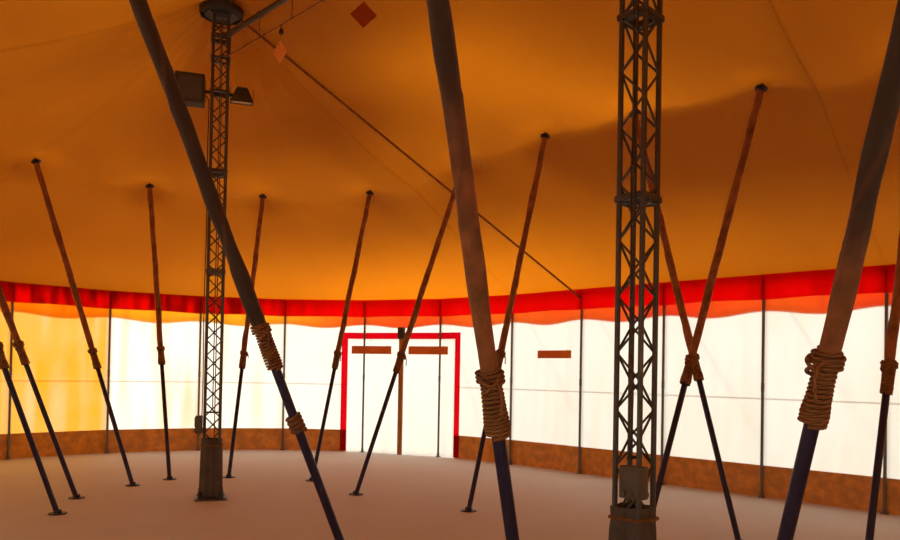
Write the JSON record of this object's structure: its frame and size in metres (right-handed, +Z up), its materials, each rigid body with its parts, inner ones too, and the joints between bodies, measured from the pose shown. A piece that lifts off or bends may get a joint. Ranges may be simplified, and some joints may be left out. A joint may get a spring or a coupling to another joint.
{
  "type": "marquee tent",
  "caption": "Oval marquee with two lattice masts, leaning inner poles under an amber canopy, translucent walls, a red inner valance and guy ropes to ground stakes.",
  "frame": {"origin": "on the ground, in the middle between the two masts", "axes": "+X along the line of the masts towards the east mast, +Y towards the north straight wall, +Z up"},
  "size_m": [22.8952, 16.8144, 6.88],
  "materials": {
    "canopy_cloth": "smooth coated amber cloth",
    "wall_cloth": "translucent yellow coated cloth",
    "red_cloth": "plain red coated cloth",
    "pole_steel": "dull galvanised tube",
    "mast_paint": "dark worn paint",
    "rope": "brown laid rope and webbing",
    "post_wood": "dark stained board"
  },
  "bodies": {
    "root": {"canopy_east": "canopy_cloth", "canopy_north": "canopy_cloth", "canopy_northeast": "canopy_cloth", "canopy_northwest": "canopy_cloth", "canopy_south": "canopy_cloth", "canopy_southeast": "canopy_cloth", "canopy_southwest": "canopy_cloth", "canopy_west": "canopy_cloth", "crown_east": "mast_paint", "crown_west": "mast_paint", "exit_border_east": "red_cloth", "exit_border_west": "red_cloth", "exit_flap_east_left": "wall_cloth", "exit_flap_east_right": "wall_cloth", "exit_flap_west_left": "wall_cloth", "exit_flap_west_right": "wall_cloth", "exit_post_east": "post_wood", "exit_post_west": "post_wood", "guy_lines_east": "rope", "guy_lines_north": "rope", "guy_lines_south": "rope", "guy_lines_west": "rope", "inner_pole_01": "pole_steel", "inner_pole_02": "pole_steel", "inner_pole_03": "pole_steel", "inner_pole_04": "pole_steel", "inner_pole_05": "pole_steel", "inner_pole_06": "pole_steel", "inner_pole_07": "pole_steel", "inner_pole_08": "pole_steel", "inner_pole_09": "pole_steel", "inner_pole_10": "pole_steel", "inner_pole_11": "pole_steel", "inner_pole_12": "pole_steel", "inner_pole_13": "pole_steel", "inner_pole_14": "pole_steel", "inner_pole_15": "pole_steel", "inner_pole_16": "pole_steel", "inner_pole_17": "pole_steel", "mast_east": "mast_paint", "mast_west": "mast_paint", "ridge_truss": "mast_paint", "side_poles_east": "pole_steel", "side_poles_north": "pole_steel", "side_poles_south": "pole_steel", "side_poles_west": "pole_steel", "valance_east": "red_cloth", "valance_north": "red_cloth", "valance_south": "red_cloth", "valance_west": "red_cloth", "wall_east": "wall_cloth", "wall_north": "wall_cloth", "wall_northeast": "wall_cloth", "wall_northwest": "wall_cloth", "wall_south": "wall_cloth", "wall_southeast": "wall_cloth", "wall_southwest": "wall_cloth", "wall_west": "wall_cloth"}
  },
  "joints": []
}
